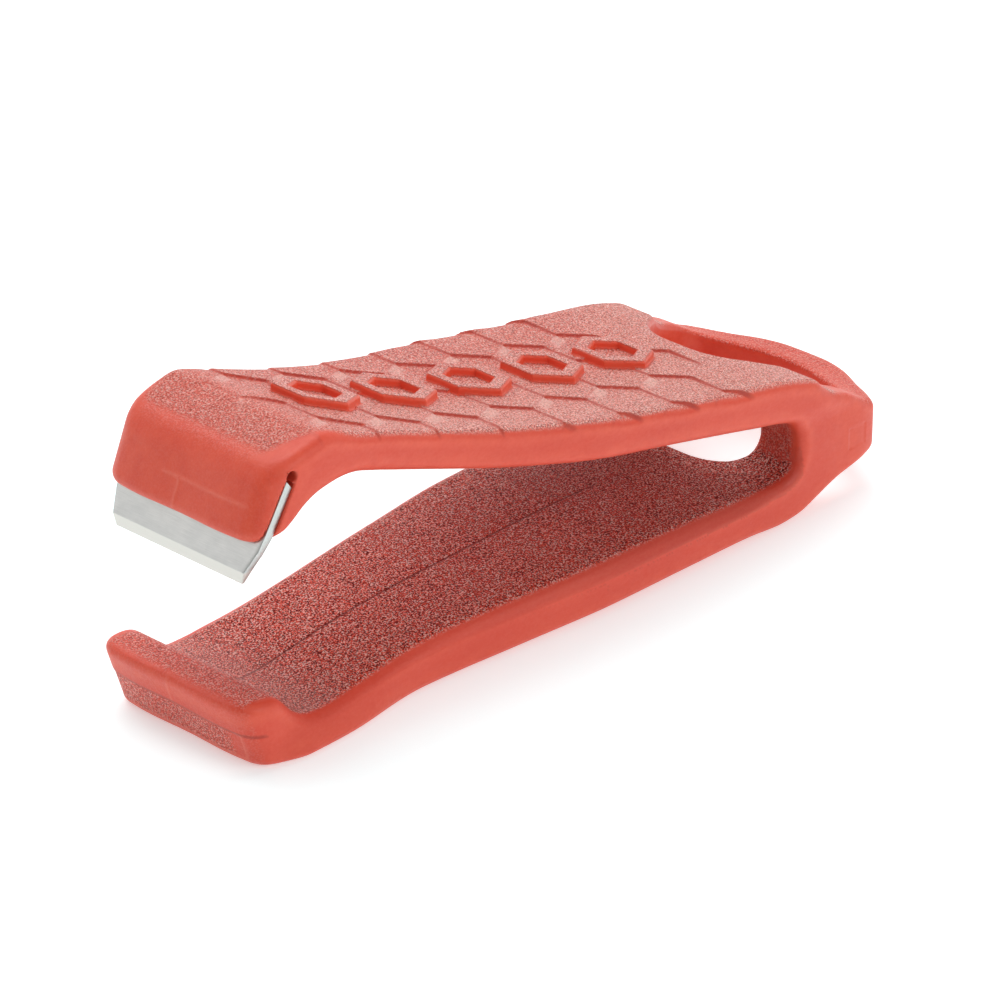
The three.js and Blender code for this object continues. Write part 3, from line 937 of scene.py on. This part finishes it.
# name, location, target, size, power in watts
LIGHTS = [
    ("key_top", (0.05, 0.18, 0.55), (0, 0, 0.01), (0.5, 0.5), 1.95),
    ("side_soft", (0.12, -0.50, 0.27), (0, 0, 0.01), (0.4, 0.3), 0.93),
    ("front_card", (-0.20, -0.38, 0.44), (-0.01, 0, 0.015), (0.35, 0.35), 0.40),
    ("back_left_card", (-0.46, 0.40, 0.24), (-0.03, 0, 0.015), (0.4, 0.4), 0.45),
]


def build_world():
    """white world, brighter toward +x +y, and plain white to the camera"""
    world = bpy.data.worlds.new("studio")
    world.use_nodes = True
    net = Graph(world.node_tree)
    view = net.node("ShaderNodeTexCoord").outputs["Generated"]
    facing = net.fill(net.node("ShaderNodeVectorMath", operation="DOT_PRODUCT"),
                      {0: view, 1: (0.725, 0.688, 0.0)})
    glow = net.map(facing.outputs["Value"], over=(-0.3, 0.9), to=(0.15, 1.0),
                   interpolation_type="SMOOTHSTEP")
    camera_ray = net.node("ShaderNodeLightPath").outputs["Is Camera Ray"]
    seen = net.fill(net.node("ShaderNodeMix", data_type="FLOAT"),
                    {0: camera_ray, 2: glow, 3: 1.0})
    net.fill(world.node_tree.nodes["Background"],
             {"Strength": seen.outputs[0], "Color": (1, 1, 1, 1)})
    bpy.context.scene.world = world


def build_camera():
    data = bpy.data.cameras.new("camera")
    data.sensor_width = 36.0
    data.lens = 180.0
    data.clip_start = 0.01
    data.clip_end = 5.0
    camera = add_object("camera", data)
    turn, lift = math.radians(-46.51), math.radians(27.449)
    back = Vector((math.sin(turn) * math.cos(lift), -math.cos(turn) * math.cos(lift),
                   math.sin(lift)))
    right = Vector((math.cos(turn), math.sin(turn), 0.0))
    rotation = Matrix((right, back.cross(right), back)).transposed()
    eye = Vector(tuple(to_row([-193.868, -212.078, 166.383])))     # drawing mm
    camera.matrix_world = Matrix.Translation(eye) @ rotation.to_4x4()
    bpy.context.scene.camera = camera


# ---------------------------------------------------------------------- assembly
body = build_body()
blade = build_blade()
body.data.materials.append(body_material())
blade.data.materials.append(steel_material())

tuple(to_row([HINGE_X, 0, HINGE_Z[0]]))
tuple(to_row([HINGE_X, 0, HINGE_Z[1]]))
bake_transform(body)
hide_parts("lower_arm", "spring_bow", "upper_arm")
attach(blade, "upper")
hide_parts("cutter_blade")

build_floor()
for light_row in LIGHTS:
    area_light(*light_row)
build_world()
build_camera()

view_settings = bpy.context.scene.view_settings
view_settings.view_transform = "Standard"
view_settings.look = "None"
